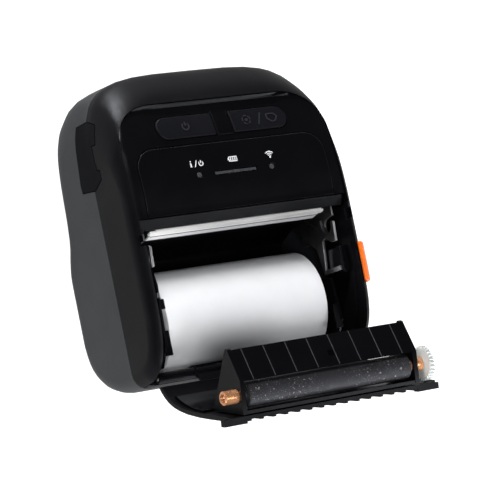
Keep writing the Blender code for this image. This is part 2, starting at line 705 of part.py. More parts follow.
def make_latch():
    origin = at(0, *LATCH)
    slot = arc((PLATEN[0] + 0.4, PLATEN[1]), 3.6, 250, 110, 8)
    outline = ([(61.3, 25.8), (67.5, 25.8), (67.5, 32.2), (62, 38), (55.6, 49), (58.2, 53.2)]
               + slot + [(56.6, 61.4), (56.0, 63.2), (47.5, 62.4), (47.5, 58.6), (50.3, 55), (49, 52.4),
                         (36.6, 50.2), (36.6, 61.8), (34.6, 61.8), (34.6, 48.4), (46.5, 46),
                         (56, 34)])
    for name, side in (("left_hook", -1), ("right_hook", 1)):
        low, high = mirrored_x(HOOK_IN, HOOK_OUT, side)
        hook = add_object(name, outline_mesh(name, outline, low, high, "X"), "steel", origin=origin)
        cut(hook, rod_mesh(name + "_bore", LATCH, 1.5 + GAP, -60, 60, 20))
    add_object("latch_shaft", rod_mesh("latch_shaft", LATCH, 1.5, -47.0, 47.0, 20), "steel",
               origin=origin)


def make_release_lever():
    """An orange cap that follows the case's rounded edge, with a stem through the cheek."""
    lever = case_layer("release_lever", -2.0, -GAP, "orange", origin=at(55, 36.2, 64))
    zone = [(51.3, 27.5), (60, 27.5), (60, 45), (51.3, 45)]
    keep(lever, outline_mesh("lever_zone", zone, 58.5, 75, "Z"))
    unite(lever, box_mesh("lever_stem", (52.7, 34.4, 61.2), (56.2, 42.1, 64.0)))


def gear_outline(teeth, phase_deg):
    """A spur gear's outline round (0, 0): four points for each tooth."""
    pitch_radius = TOOTH_MODULE * teeth / 2
    tip = pitch_radius + 0.38
    root = pitch_radius - 0.62
    points = []
    for k in range(teeth):
        middle = math.radians(phase_deg) + 2 * math.pi * k / teeth
        step = 2 * math.pi / teeth
        for radius, share in ((root, -0.27), (tip, -0.10), (tip, 0.10), (root, 0.27)):
            angle = middle + share * step
            points.append((radius * math.cos(angle), radius * math.sin(angle)))
    return points


def drive_centres():
    """Centres of the transfer and drive gears between the platen gear and the motor's pinion."""
    reach = TOOTH_MODULE * (PLATEN_TEETH + TRANSFER_TEETH) / 2
    toward = math.radians(-38.4)
    transfer = (PLATEN[0] + reach * math.cos(toward), PLATEN[1] + reach * math.sin(toward))
    first = TOOTH_MODULE * (TRANSFER_TEETH + DRIVE_TEETH) / 2
    second = TOOTH_MODULE * (DRIVE_TEETH + PINION_TEETH) / 2
    run = (MOTOR[0] - transfer[0], MOTOR[1] - transfer[1])
    span = math.hypot(*run)
    along = (first ** 2 - second ** 2 + span ** 2) / (2 * span)
    aside = math.sqrt(first ** 2 - along ** 2)
    drive = (transfer[0] + (run[0] * along + run[1] * aside) / span,
             transfer[1] + (run[1] * along - run[0] * aside) / span)
    return {"transfer": transfer, "drive": drive}


def meshing_phase(first, first_teeth, first_phase, second, second_teeth):
    """The phase that sets the second gear's gap on the first one's tooth."""
    toward = math.degrees(math.atan2(second[1] - first[1], second[0] - first[0]))
    tooth = (toward - first_phase) * first_teeth / 360
    return toward + 180 - (0.5 - tooth) * 360 / second_teeth


def gear_object(name, centre, teeth, phase, bore, finish, x_from=GEAR_IN, x_to=GEAR_OUT,
                parent=None):
    outline = [(centre[0] + a, centre[1] + b) for a, b in gear_outline(teeth, phase)]
    gear = add_object(name, outline_mesh(name, outline, x_from, x_to, "X"), finish,
                      origin=at(0, *centre), parent=parent)
    return cut(gear, rod_mesh(name + "_bore", centre, bore, 40, 60, 20), parent)


def make_drive(lid_axis):
    centres = drive_centres()
    drive, transfer = centres["drive"], centres["transfer"]
    drive_phase = 0.0
    transfer_phase = meshing_phase(drive, DRIVE_TEETH, drive_phase, transfer, TRANSFER_TEETH)
    pinion_phase = meshing_phase(drive, DRIVE_TEETH, drive_phase, MOTOR, PINION_TEETH)
    platen_phase = meshing_phase(transfer, TRANSFER_TEETH, transfer_phase, PLATEN, PLATEN_TEETH)
    gear_object("drive_gear", drive, DRIVE_TEETH, drive_phase, 1.5, "nylon")
    gear_object("transfer_gear", transfer, TRANSFER_TEETH, transfer_phase, 1.5, "nylon")
    gear_object("motor_pinion", MOTOR, PINION_TEETH, pinion_phase, 1.3, "brass")
    gear_object("platen_gear", PLATEN, PLATEN_TEETH, platen_phase, SHAFT_RADIUS + GAP, "nylon",
                parent=lid_axis)
    for name, centre in (("drive_axle", drive), ("transfer_axle", transfer)):
        add_object(name, rod_mesh(name, centre, 1.2, 46.0, 50.4, 16), "steel")
    motor = add_object("feed_motor", rod_mesh("feed_motor", MOTOR, MOTOR_RADIUS, 24, 46.4, 32, 0.6),
                       "steel")
    unite(motor, rod_mesh("motor_boss", MOTOR, 2.8, 45, 47.2, 20))
    unite(motor, rod_mesh("motor_shaft", MOTOR, 1.0, 45, 50.2, 16))


def make_electronics():
    add_object("main_board", box_mesh("main_board", (-43, 76.5, 49.6), (43, 116, 51.2)), "board")
    end = add_object("battery_pack", case_mesh("battery_pack", 0.2), "black", origin=at(0, 95, 18.6))
    low, high = BATTERY_Z
    keep(end, box_mesh("battery_block", (-BATTERY_HALF, BATTERY_LOW, low), (BATTERY_HALF, 140, high),
                       1.0))


def make_belt_clip():
    origin = at(0, *CLIP_PIN)
    leaf = [(112.2, 1.2), (111, 0.0), (70, 0.0), (67.5, 1.4), (67.5, 3.2), (68.6, 3.2), (70.2, 1.9),
            (105.5, 1.9), (107.4, 3.0)]
    barrel = arc(CLIP_PIN, 2.7, 200, -20, 12)
    clip = add_object("belt_clip", outline_mesh("belt_clip", leaf + barrel, -12.4, 12.4, "X"),
                      "black", origin=origin)
    cut(clip, rod_mesh("belt_clip_bore", CLIP_PIN, 1.5, -20, 20, 20))
    add_object("clip_pin", rod_mesh("clip_pin", CLIP_PIN, 1.2, -15.6, 15.6, 20), "steel")


# ---------------------------------------------------------------- lid

def make_lid_axis():
    axis = bpy.data.objects.new("lid_axis", None)
    printer.objects.link(axis)
    axis.location = at(0, *HINGE)
    axis.rotation_euler = (math.radians(LID_OPEN_DEG), 0, 0)
    return axis


def make_hinge_block():
    """The fixed lip between the cheeks, with the outer hinge barrels."""
    block = case_layer("hinge_block", 0, WALL + 1.4, "case")
    keep(block, box_mesh("hinge_block_zone", (-LID_HALF, -5, SEAM_Z + GAP), (LID_HALF, 9, 47.6)))
    for side in (-1, 1):
        low, high = mirrored_x(31, 48.5, side)
        tag = "right" if side > 0 else "left"
        unite(block, rod_mesh("hinge_barrel_" + tag, HINGE, 2.2, low, high, 24))
        web = [(0.9, 46), (4.6, 46), (3.9, 51.5), (0.4, 51.5)]
        unite(block, outline_mesh("hinge_web_" + tag, web, low, high, "X"))
    cut(block, rod_mesh("hinge_block_bore", HINGE, 1.3, -50, 50, 20))


def make_lid_cover(axis):
    cover = case_layer("lid_cover", 0, LID_WALL, "case", parent=axis, side=LID_SIDE)
    zone = box_mesh("lid_zone", (-LID_HALF, -5, LID_LOW_Z), (LID_HALF, LID_TOP, 80))
    keep(cover, zone, axis)
    ribs = [box_mesh("grip_rib", (x - 0.8, 50.5, 65.9), (x + 0.8, LID_TOP, 67.6))
            for x in np.arange(-40.6, 40.7, 5.8)]
    unite(cover, joined_mesh("grip_ribs", ribs), axis)
    ears = [box_mesh("ear", (x, 56.6, 65.8), (x + 10.6, LID_TOP, 68.4)) for x in (-52.4, 41.8)]
    unite(cover, joined_mesh("lid_ears", ears), axis)
    unite(cover, rod_mesh("lid_barrel", HINGE, 2.2, -30.5, 30.5, 24), axis)
    web = [(1.2, 52), (3.9, 51.5), (9.6, 57.2), (7.2, 55.6)]
    unite(cover, outline_mesh("lid_web", web, -30.5, 30.5, "X"), axis)
    cut(cover, rod_mesh("lid_bore", HINGE, 1.3, -40, 40, 20), axis)


def make_lid_liner(axis):
    liner = case_layer("lid_liner", LID_WALL + GAP, LID_WALL + 1.2, "black", parent=axis,
                       side=LID_SIDE)
    keep(liner, box_mesh("liner_zone", (-47, -5, 58.5), (47, 34.5, 80)), axis)


def make_platen_holder(axis):
    bracket = [(50.2, 38.6), (51.6, 38.9), (59.2, 51.0), (59.4, 64.9), (36, 64.0)]
    low, high = BRACKET_IN, BRACKET_OUT
    holder = add_object("platen_holder", outline_mesh("platen_holder", bracket, low, high, "X"),
                        "black", parent=axis)
    unite(holder, outline_mesh("left_bracket", bracket, -high, -low, "X"), axis)
    guide = [(51.1, 39.2), (58.9, 51.6), (55.4, 51.4), (49.8, 41.4)]
    unite(holder, outline_mesh("guide_plate", guide, -42, 42, "X"), axis)
    floor = [(36.6, 62.8), (59.2, 63.4), (59.2, 64.8), (36.2, 63.9)]
    unite(holder, outline_mesh("holder_floor", floor, -42, 42, "X"), axis)
    cut(holder, rod_mesh("bush_bores", PLATEN, BUSH_RADIUS + GAP, -60, 60, 28), axis)


def make_platen(axis):
    origin = at(0, *PLATEN)
    roller = add_object("platen_roller", rod_mesh("platen_roller", PLATEN, PLATEN_RADIUS,
                        -PLATEN_HALF, PLATEN_HALF, 40, 0.3), "rubber", origin=origin, parent=axis)
    cut(roller, rod_mesh("roller_bore", PLATEN, SHAFT_RADIUS + GAP, -50, 50, 24), axis)
    add_object("platen_shaft", rod_mesh("platen_shaft", PLATEN, SHAFT_RADIUS, -48.2, 50.4, 24),
               "steel", origin=origin, parent=axis)
    for name, low, high in (("left_bush", -49.4, -40.6), ("right_bush", 40.6, 47.6)):
        bush = add_object(name, rod_mesh(name, PLATEN, BUSH_RADIUS, low, high, 28, 0.3), "brass",
                          parent=axis)
        cut(bush, rod_mesh(name + "_bore", PLATEN, SHAFT_RADIUS + GAP, -60, 60, 24), axis)


def make_hinge_rod():
    add_object("hinge_rod", rod_mesh("hinge_rod", HINGE, 1.0, -49, 49, 20), "steel")


clear_scene()
printer = make_collection("receipt_printer")
cutters = make_collection("cutters")
materials = {name: make_material(name) for name in COLOURS}

make_front_shell()
make_rear_shell()
make_screws()
make_face()
make_lenses()
make_buttons()
make_port()
make_exit()
make_tear_bar()
make_print_head()
make_bay()
make_guides()
make_paper()
make_frames()
make_latch()
make_release_lever()
make_electronics()
make_belt_clip()
make_hinge_block()
make_hinge_rod()
lid_axis = make_lid_axis()
make_lid_cover(lid_axis)
make_lid_liner(lid_axis)
make_platen_holder(lid_axis)
make_platen(lid_axis)
make_drive(lid_axis)
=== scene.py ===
"""Looks of the mobile receipt printer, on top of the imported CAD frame."""
import json
import math

import bmesh
import bpy
import numpy as np
from mathutils import Matrix, Vector


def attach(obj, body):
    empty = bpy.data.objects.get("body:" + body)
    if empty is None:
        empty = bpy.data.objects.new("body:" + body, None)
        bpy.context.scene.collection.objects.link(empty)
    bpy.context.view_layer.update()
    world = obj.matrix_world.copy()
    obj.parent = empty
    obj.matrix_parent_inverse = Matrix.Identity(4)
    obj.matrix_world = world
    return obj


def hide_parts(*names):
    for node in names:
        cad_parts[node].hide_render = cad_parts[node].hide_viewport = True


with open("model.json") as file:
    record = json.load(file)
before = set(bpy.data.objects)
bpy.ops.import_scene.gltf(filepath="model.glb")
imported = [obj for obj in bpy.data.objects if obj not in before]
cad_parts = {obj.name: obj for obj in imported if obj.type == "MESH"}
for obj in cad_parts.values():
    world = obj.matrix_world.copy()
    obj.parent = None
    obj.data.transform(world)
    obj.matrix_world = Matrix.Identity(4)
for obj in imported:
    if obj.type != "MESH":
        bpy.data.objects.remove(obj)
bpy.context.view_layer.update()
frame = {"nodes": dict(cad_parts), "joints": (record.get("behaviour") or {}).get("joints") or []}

# The printer's sizes are in mm. Up runs along the printer from its hinge end, and out from its
# flat back.
MM = 0.001
ORIGIN_UP = 40.5             # where the frame's Y = 0 is

lid_hinge = next(joint for joint in frame["joints"] if joint["name"] == "lid_hinge")
HINGE = (lid_hinge["pos_m"][1] / MM + ORIGIN_UP, lid_hinge["pos_m"][2] / MM)     # up, out
LID_OPEN_DEG = -lid_hinge["range_deg"][0]

# The recessed front face: (up, out) along its side, and what stands on it
FACE_SIDE = [(58, 66.0), (66.5, 66.9), (75, 67.8), (82.6, 67.4), (91, 66.4), (99.3, 65.0),
             (106, 63.2), (110.5, 61.6), (115, 59.4)]
PANEL_HALF = 46.1
PANEL_LOW = 67.6
PANEL_TOP = 95.8
PANEL_CORNER = 8.8
PANEL_PROUD = 0.15
BEAD_RADIUS = 0.16
LED_UP = 82.6
LED_X = 18.0
KEY_UP = 104.35
KEY_X = 18.4
KEY_PROUD = 0.8
BRIDGE_HALF = 4.0            # the plate between the keys
BRIDGE_LOW = 98.9
BRIDGE_TOP = 110.2

# The print head: the tips of its tear bar as (up, out), and how far its face leans back
HEAD_TOP = (61.9, 63.3)
HEAD_LEAN_DEG = 11.6
TEAR_HALF = 41.4             # the toothed part
TEAR_LEFT = -43.6
TEAR_RIGHT = 43.0
TOOTH_PITCH = 1.15
TOOTH_DEPTH = 1.9
TEAR_DEPTH = 4.6             # from the tips to the strip's lower edge
TEAR_THICK = 0.8
# The painted shade of the groove under the tear bar, a dark strip: its half width and its two edges
GROOVE_SHADE_HALF = 41.9
GROOVE_SHADE_TOP = -6.0             # along the head's face, from the tips
GROOVE_SHADE_LOW = -6.5

# The cheeks beside the lid, and the gap behind its hinge
CHEEK_INNER = 51.0
BAND_PROUD = 0.25
BAND_ROOT = 0.02             # how far the band reaches into the cheek
BAND_SIDE = [(9.9, 45.6), (18.8, 49.7), (24.4, 54), (29.5, 58), (38.3, 62), (44.5, 62.7), (46, 65),
             (37.5, 65.6), (29.6, 62.4), (22.4, 61), (17.1, 59.6), (12, 57), (8.6, 53.4)]
SHIELD_HALF = 30.2
SHIELD_UP = (4.75, 5.1)
SHIELD_OUT = (46.2, 52.1)

# The guide plate beside the platen, with the lid closed: its two ends as (up, out), and its ribs
GUIDE_LOW = Vector((51.1, 39.2))
GUIDE_HIGH = Vector((58.9, 51.6))
GUIDE_RIBS = 8
GUIDE_RIB_FIRST_X = -36.4
GUIDE_RIB_PITCH = 10.4
GUIDE_RIB_WIDTH = 0.22
GUIDE_RIB_PROUD = 0.28
GUIDE_ROOT = 0.2             # how far ribs and dimple reach into the plate
DIMPLE_X = 3.4
DIMPLE_ALONG = 8.6           # from the plate's lower end
DIMPLE_STEPS = [(1.3, 0.10), (0.9, 0.22)]        # half width and height of each step

# The camera, fitted to the photo: its axes and its place in the frame, in metres
CAMERA_RIGHT = Vector((0.84582, -0.20215, 0.49368))
CAMERA_DOWN = Vector((-0.12063, -0.97393, -0.19213))
CAMERA_FORWARD = Vector((0.51965, 0.10295, -0.84815))
CAMERA_PLACE = Vector((-0.5479, -0.10066, 0.9595))
LENS_MM = 179.5
SENSOR_MM = 36.0
CLIP_START = 0.05
CLIP_END = 20.0

# Each lamp's name, place, target, size and power, in metres and watts
LAMPS = [
    ("key", (-0.36, 0.90, 0.70), (0, 0, 0.05), (0.40, 0.40), 10.5),
    ("rim", (-0.16, 1.25, -0.02), (0, 0.05, 0.05), (0.34, 0.24), 34),
    ("fill", (-0.2, -1.2, 0.7), (0, 0, 0.05), (0.9, 0.4), 24),
    ("front_fill", (-0.55, -0.30, 1.20), (0, 0, 0.05), (0.5, 0.3), 8),
    ("right_fill", (0.75, -0.35, 0.95), (0, 0, 0.05), (0.4, 0.3), 4),
    ("low", (0.62, -0.55, 0.08), (0, 0, 0.06), (0.5, 0.16), 5),
]
WHITE = (1, 1, 1, 1)
WORLD_GLOW = 0.035
FLOOR_HALF = 6
FLOOR_COLOUR = (0.35, 0.35, 0.35)
FLOOR_GLOW = (0.10, 0.95)    # what the floor gives to the printer, and what the camera sees of it


def at(x, up, out):
    """A point of the printer in the frame, in metres."""
    return Vector((x * MM, (up - ORIGIN_UP) * MM, out * MM))


def on_lid(x, up, out):
    """A point given with the lid closed, where the open lid holds it."""
    turn = math.radians(LID_OPEN_DEG)
    across, away = up - HINGE[0], out - HINGE[1]
    return at(x, HINGE[0] + across * math.cos(turn) - away * math.sin(turn),
              HINGE[1] + across * math.sin(turn) + away * math.cos(turn))


def on_head(x, along, proud):
    """A point on the leaning face of the print head, from the tips of the tear bar."""
    turn = math.radians(90 - HEAD_LEAN_DEG)
    return at(x, HEAD_TOP[0] + along * math.cos(turn) - proud * math.sin(turn),
              HEAD_TOP[1] + along * math.sin(turn) + proud * math.cos(turn))


def face_out(up):
    """Height of the recessed front face."""
    return float(np.interp(up, [p[0] for p in FACE_SIDE], [p[1] for p in FACE_SIDE]))


# ---------------------------------------------------------------- materials

SPECULAR_TINT = (0.88, 0.91, 1.0, 1)
NOISE_ROUGHNESS = 0.55
NOISE_LOW, NOISE_HIGH = 0.3, 0.7         # nearly all of the noise lies between these

# Each moulded plastic's material name, colour, roughness, grain scale, grain strength and specular
PLASTICS = {
    "front": ("front_case", (0.0024, 0.0024, 0.0030), 0.40, 2300, 0.45, 0.10),
    "rear": ("rear_case", (0.0150, 0.0160, 0.0178), 0.46, 2100, 0.50, 0.50),
    "face": ("front_face", (0.0018, 0.0018, 0.0024), 0.32, 3200, 0.14, 0.14),
    "panel": ("panel_film", (0.0018, 0.0018, 0.0024), 0.30, 3600, 0.08, 0.14),
    "inner": ("inner_plastic", (0.0016, 0.0016, 0.0021), 0.34, 1900, 0.18, 0.12),
    "lid_inner": ("lid_inner_gloss", (0.0008, 0.0008, 0.0011), 0.16, 1500, 0.06, 0.16),
    "port": ("port_rubber", (0.0036, 0.0038, 0.0048), 0.66, 1500, 0.45, 0.06),
    "keys": ("key_rubber", (0.0032, 0.0033, 0.0044), 0.56, 1800, 0.35, 0.09),
    "exit": ("exit_guide_plastic", (0.0030, 0.0030, 0.0036), 0.40, 2400, 0.25, 0.22),
    "clip": ("clip_plastic", (0.012, 0.012, 0.013), 0.42, 2000, 0.25, 0.50),
    "battery": ("battery_plastic", (0.008, 0.008, 0.009), 0.45, 2000, 0.25, 0.50),
}


class Look:
    """A Principled material with noise-driven colour, roughness and bump."""

    def __init__(self, name, colour, roughness, metallic=0.0, specular=0.5):
        self.material = bpy.data.materials.new(name)
        self.material.use_nodes = True
        self.tree = self.material.node_tree
        self.shader = self.tree.nodes["Principled BSDF"]
        self.colour = colour
        self.set("Metallic", metallic)
        self.set("Specular IOR Level", specular)
        self.set("Specular Tint", SPECULAR_TINT)
        self.place = self.add("ShaderNodeTexCoord").outputs["Object"]
        self.roughness = roughness
        self.paint = None
        self.normal = None

    def set(self, socket, value):
        self.shader.inputs[socket].default_value = value

    def add(self, kind, **settings):
        node = self.tree.nodes.new(kind)
        for key, value in settings.items():
            setattr(node, key, value)
        return node

    def link(self, source, target):
        self.tree.links.new(source, target)

    def stretched(self, scale):
        """Object coordinates scaled by a different amount along each axis."""
        mapping = self.add("ShaderNodeMapping")
        mapping.inputs["Scale"].default_value = scale
        self.link(self.place, mapping.inputs["Vector"])
        return mapping.outputs["Vector"]

    def noise(self, scale, detail=3.0, stretch=None):
        node = self.add("ShaderNodeTexNoise")
        node.inputs["Scale"].default_value = scale
        node.inputs["Detail"].default_value = detail
        node.inputs["Roughness"].default_value = NOISE_ROUGHNESS
        self.link(self.stretched(stretch) if stretch else self.place, node.inputs["Vector"])
        return node.outputs["Fac"]

    def remap(self, value, low, high, to_low=0.0, to_high=1.0):
        node = self.add("ShaderNodeMapRange")
        for key, number in zip(("From Min", "From Max", "To Min", "To Max"),
                               (low, high, to_low, to_high)):
            node.inputs[key].default_value = number
        self.link(value, node.inputs["Value"])
        return node.outputs["Result"]

    def combine(self, operation, one, two):
        node = self.add("ShaderNodeMath", operation=operation)
        self.link(one, node.inputs[0])
        self.link(two, node.inputs[1])
        return node.outputs[0]

    def tint(self, factor, colour):
        """Mixes a colour over what is there."""
        node = self.add("ShaderNodeMix", data_type="RGBA")
        self.link(factor, node.inputs["Factor"])
        if self.paint is None:
            node.inputs["A"].default_value = (*self.colour, 1)
        else:
            self.link(self.paint, node.inputs["A"])
        node.inputs["B"].default_value = (*colour, 1)
        self.paint = node.outputs["Result"]
        return self

    def vary(self, scale, amount, stretch=None):
        """Soft patches that are lighter by a share of the colour, or darker if it is negative."""
        other = [min(1.0, c * (1 + amount)) for c in self.colour]
        factor = self.remap(self.noise(scale, stretch=stretch), NOISE_LOW, NOISE_HIGH)
        return self.tint(factor, other)

    def rough(self, scale, spread, stretch=None, detail=3.0):
        """Roughness that wanders by the spread to both sides."""
        noise = self.noise(scale, detail, stretch)
        low, high = self.roughness - spread, self.roughness + spread
        wandering = self.remap(noise, NOISE_LOW, NOISE_HIGH, low, high)
        self.link(wandering, self.shader.inputs["Roughness"])
        return self

    def grain(self, scale, strength, distance=0.0001, detail=2.0, stretch=None):
        """Bump of a given distance in metres, over any bump that is there."""
        height = self.noise(scale, detail, stretch)
        node = self.add("ShaderNodeBump")
        node.inputs["Strength"].default_value = strength
        node.inputs["Distance"].default_value = distance
        self.link(height, node.inputs["Height"])
        if self.normal is not None:
            self.link(self.normal, node.inputs["Normal"])
        self.normal = node.outputs["Normal"]
        return self

    def done(self):
        if self.paint is not None:
            self.link(self.paint, self.shader.inputs["Base Color"])
        else:
            self.set("Base Color", (*self.colour, 1))
        if not self.shader.inputs["Roughness"].is_linked:
            self.set("Roughness", self.roughness)
        if self.normal is not None:
            self.link(self.normal, self.shader.inputs["Normal"])
        return self.material


def moulded(name, colour, roughness, grain, strength, specular):
    """A plastic or rubber with a fine grain, over a coarser and weaker one."""
    look = Look(name, colour, roughness, specular=specular)
    look.vary(45, 0.25).rough(60, 0.04)
    look.grain(grain, strength, 0.00006)
    look.grain(220, 0.05, 0.0002)
    return look.done()


def roller_rubber():
    """Black rubber with specks of paper dust, which come in patches."""
    look = Look("roller_rubber", (0.0075, 0.0075, 0.0088), 0.58, specular=0.3)
    look.vary(120, 0.8).rough(200, 0.08)
    coarse = look.remap(look.noise(1100, 1), 0.68, 0.74)
    fine = look.remap(look.noise(2600, 1), 0.67, 0.75)
    patches = look.remap(look.noise(50, 2), 0.30, 0.75)
    dust = look.combine("MULTIPLY", look.combine("MAXIMUM", coarse, fine), patches)
    look.tint(dust, (0.42, 0.42, 0.44))
    return look.grain(1400, 0.5).done()


def brushed_steel():
    """Steel with its brush marks along X."""
    look = Look("brushed_steel", (0.60, 0.60, 0.61), 0.28, metallic=1.0)
    look.vary(60, -0.22, (1, 6, 6)).rough(140, 0.09, (0.4, 8, 8), 4)
    return look.grain(900, 0.20, 0.00005, 4, (0.06, 1, 1)).done()


def bright_steel():
    """The head's steel, painted nearly white and barely metallic: a painted reflection of the light
    on bare steel.
    """
    look = Look("bright_steel", (1.0, 1.0, 1.0), 0.42, metallic=0.05)
    look.vary(80, -0.12, (0.3, 8, 8)).rough(160, 0.08, (0.4, 8, 8), 4)
    return look.grain(1400, 0.2, 0.00005, 4, (0.06, 1, 1)).done()


def blackened_steel():
    look = Look("blackened_steel", (0.16, 0.16, 0.165), 0.36, metallic=1.0)
    look.vary(90, 0.5).rough(160, 0.08)
    return look.grain(1400, 0.25, 0.00005).done()


def plated_steel():
    look = Look("plated_steel", (0.30, 0.30, 0.31), 0.34, metallic=1.0)
    look.vary(70, 0.4).rough(150, 0.07, (6, 1, 1))
    return look.grain(1200, 0.25, 0.00005, 3, (1, 0.1, 1)).done()


def copper_bronze():
    look = Look("copper_bronze", (0.86, 0.42, 0.21), 0.26, metallic=0.75)
    look.vary(300, -0.35).rough(300, 0.08, (5, 1, 1))
    return look.grain(1500, 0.22, 0.00005, 3, (3, 1, 1)).done()


def thermal_paper():
    """Smooth paper that is slightly uneven round the roll."""
    look = Look("thermal_paper", (0.80, 0.81, 0.83), 0.52, specular=0.35)
    look.vary(70, 0.06).rough(90, 0.05)
    look.grain(5200, 0.10, 0.00004)
    return look.grain(38, 0.30, 0.0005, 2, (1, 2.2, 2.2)).done()


def core_board():
    look = Look("core_board", (0.36, 0.27, 0.18), 0.85)
    return look.vary(500, 0.3, (0.3, 2, 2)).grain(2500, 0.4).done()


def natural_nylon():
    look = Look("natural_nylon", (0.60, 0.62, 0.61), 0.42, specular=0.3)
    look.set("Subsurface Weight", 0.35)
    look.set("Subsurface Radius", (1.0, 1.0, 1.0))
    look.set("Subsurface Scale", 0.0012)
    return look.vary(400, -0.06).rough(300, 0.06).grain(1800, 0.1).done()


def orange_plastic():
    look = Look("orange_lever", (1.0, 0.165, 0.009), 0.30)
    return look.vary(160, 0.10).rough(200, 0.05).grain(2600, 0.08, 0.00004).done()


def circuit_board():
    """Green board with lighter tracks."""
    look = Look("circuit_board", (0.010, 0.085, 0.035), 0.35)
    tracks = look.remap(look.noise(420, 0, (1, 0.25, 1)), 0.49, 0.51)
    return look.tint(tracks, (0.02, 0.16, 0.06)).grain(1800, 0.2).done()


def light_pipe():
    look = Look("light_pipe", (0.035, 0.036, 0.040), 0.18)
    return look.vary(600, 0.5).rough(500, 0.05).grain(3000, 0.15, 0.00003).done()


# Lighter than the key rubber: a painted highlight of the light on the raised signs.
def key_sign_painted_sheen():
    look = Look("key_sign_painted_sheen", (0.016, 0.016, 0.020), 0.42, specular=0.35)
    return look.vary(700, 0.3).rough(600, 0.05).grain(2600, 0.2).done()


# Ribs a lighter grey than the guide plate they stand on.
def pale_rib():
    look = Look("pale_rib", (0.034, 0.034, 0.037), 0.45)
    return look.vary(300, 0.6).rough(300, 0.06).grain(2500, 0.2).done()


def white_print():
    look = Look("white_print", (0.78, 0.79, 0.80), 0.5)
    return look.vary(1500, -0.12).rough(900, 0.05).grain(5000, 0.1, 0.00002).done()


def make_looks():
    looks = {look: moulded(*values) for look, values in PLASTICS.items()}
    looks.update(
        roller=roller_rubber(), steel=brushed_steel(), bright=bright_steel(),
        dark_steel=blackened_steel(), frame=plated_steel(), copper=copper_bronze(),
        paper=thermal_paper(), card=core_board(), nylon=natural_nylon(),
        orange=orange_plastic(), board=circuit_board(), lens=light_pipe(),
        sign=key_sign_painted_sheen(), rib=pale_rib(), ink=white_print(),
    )
    return looks


# ---------------------------------------------------------------- the CAD nodes

LOOK_OF = {
    "front": ["front_shell", "lid_cover", "hinge_block"],
    "rear": ["rear_shell"],
    "face": ["face_cover"],
    "panel": ["control_panel"],
    "inner": ["platen_holder", "left_guide", "right_guide", "roll_bay", "head_lip", "lever_housing",
              "spring_wall", "charge_jack"],
    "lid_inner": ["lid_liner"],
    "port": ["port_cover"],
    "keys": ["power_button", "feed_button"],
    "exit": ["exit_guide"],
    "clip": ["belt_clip"],
    "roller": ["platen_roller"],
    "steel": ["platen_shaft", "clip_pin", "drive_axle", "transfer_axle", "usb_socket"],
    # The tear bar and thermal element take a steel painted nearly white, a painted reflection of the
    # light.
    "bright": ["tear_bar", "thermal_element"],
    "dark_steel": ["case_screw_1", "case_screw_2", "case_screw_3", "case_screw_4",
                   "head_spring_left", "head_spring_right", "feed_motor", "head_sink",
                   "head_bracket", "hinge_rod", "latch_shaft"],
    "frame": ["left_frame", "right_frame", "left_hook", "right_hook"],
    "copper": ["left_bush", "right_bush", "motor_pinion"],
    "paper": ["paper_roll"],
    "card": ["roll_core"],
    "nylon": ["platen_gear", "transfer_gear", "drive_gear"],
    "orange": ["release_lever"],
    "board": ["main_board"],
    "lens": ["power_led", "link_led", "battery_light"],
    "battery": ["battery_pack"],
}
SOFT_WIDTH = 0.15            # softened edge width in mm, of the nodes that aren't named below
EDGES = {
    "front_shell": 0.35, "rear_shell": 0.25, "lid_cover": 0.3, "hinge_block": 0.3,
    "face_cover": 0.2, "control_panel": 0.08, "power_button": 0.6, "feed_button": 0.6,
    "port_cover": 0.3, "release_lever": 0.6, "platen_holder": 0.3, "exit_guide": 0.25,
    "tear_bar": 0.0, "head_spring_left": 0.0, "head_spring_right": 0.0, "paper_roll": 0.25,
    "belt_clip": 0.3, "lid_liner": 0.2, "left_bush": 0.2, "right_bush": 0.2,
    "platen_roller": 0.4, "platen_shaft": 0.25, "lever_housing": 0.3, "battery_pack": 0.3,
}
WELD_DISTANCE = 2e-6         # metres
FLAT_DEG = 0.6               # faces are joined where they meet at less than this
SHARP_DEG = 32               # a CAD edge is softened where its faces meet at more than this
ADDED_SHARP_DEG = 35         # the same limit for the shading of added pieces
BEVEL_SEGMENTS = 2
NORMAL_WEIGHT = 60


def soften(node, width):
    """Rounds the sharp edges of a CAD node with modifiers."""
    weld = node.modifiers.new("weld", "WELD")
    weld.merge_threshold = WELD_DISTANCE
    flat = node.modifiers.new("flat", "DECIMATE")
    flat.decimate_type = "DISSOLVE"
    flat.angle_limit = math.radians(FLAT_DEG)
    bevel = node.modifiers.new("bevel", "BEVEL")
    bevel.width = width * MM
    bevel.segments = BEVEL_SEGMENTS
    bevel.limit_method = "ANGLE"
    bevel.angle_limit = math.radians(SHARP_DEG)
    bevel.miter_outer = "MITER_ARC"
    even = node.modifiers.new("even", "WEIGHTED_NORMAL")
    even.mode = "FACE_AREA"
    even.weight = NORMAL_WEIGHT
    even.keep_sharp = True


def dress_nodes():
    for look, names in LOOK_OF.items():
        for name in names:
            node = frame["nodes"][name]
            node.data.materials.clear()
            node.data.materials.append(looks[look])
            node.data.shade_smooth()
            node.data.set_sharp_from_angle(angle=math.radians(SHARP_DEG))
            width = EDGES.get(name, SOFT_WIDTH)
            if width:
                soften(node, width)


# ---------------------------------------------------------------- camera, light, floor

def add_object(name, data):
    made = bpy.data.objects.new(name, data)
    bpy.context.scene.collection.objects.link(made)
    return made


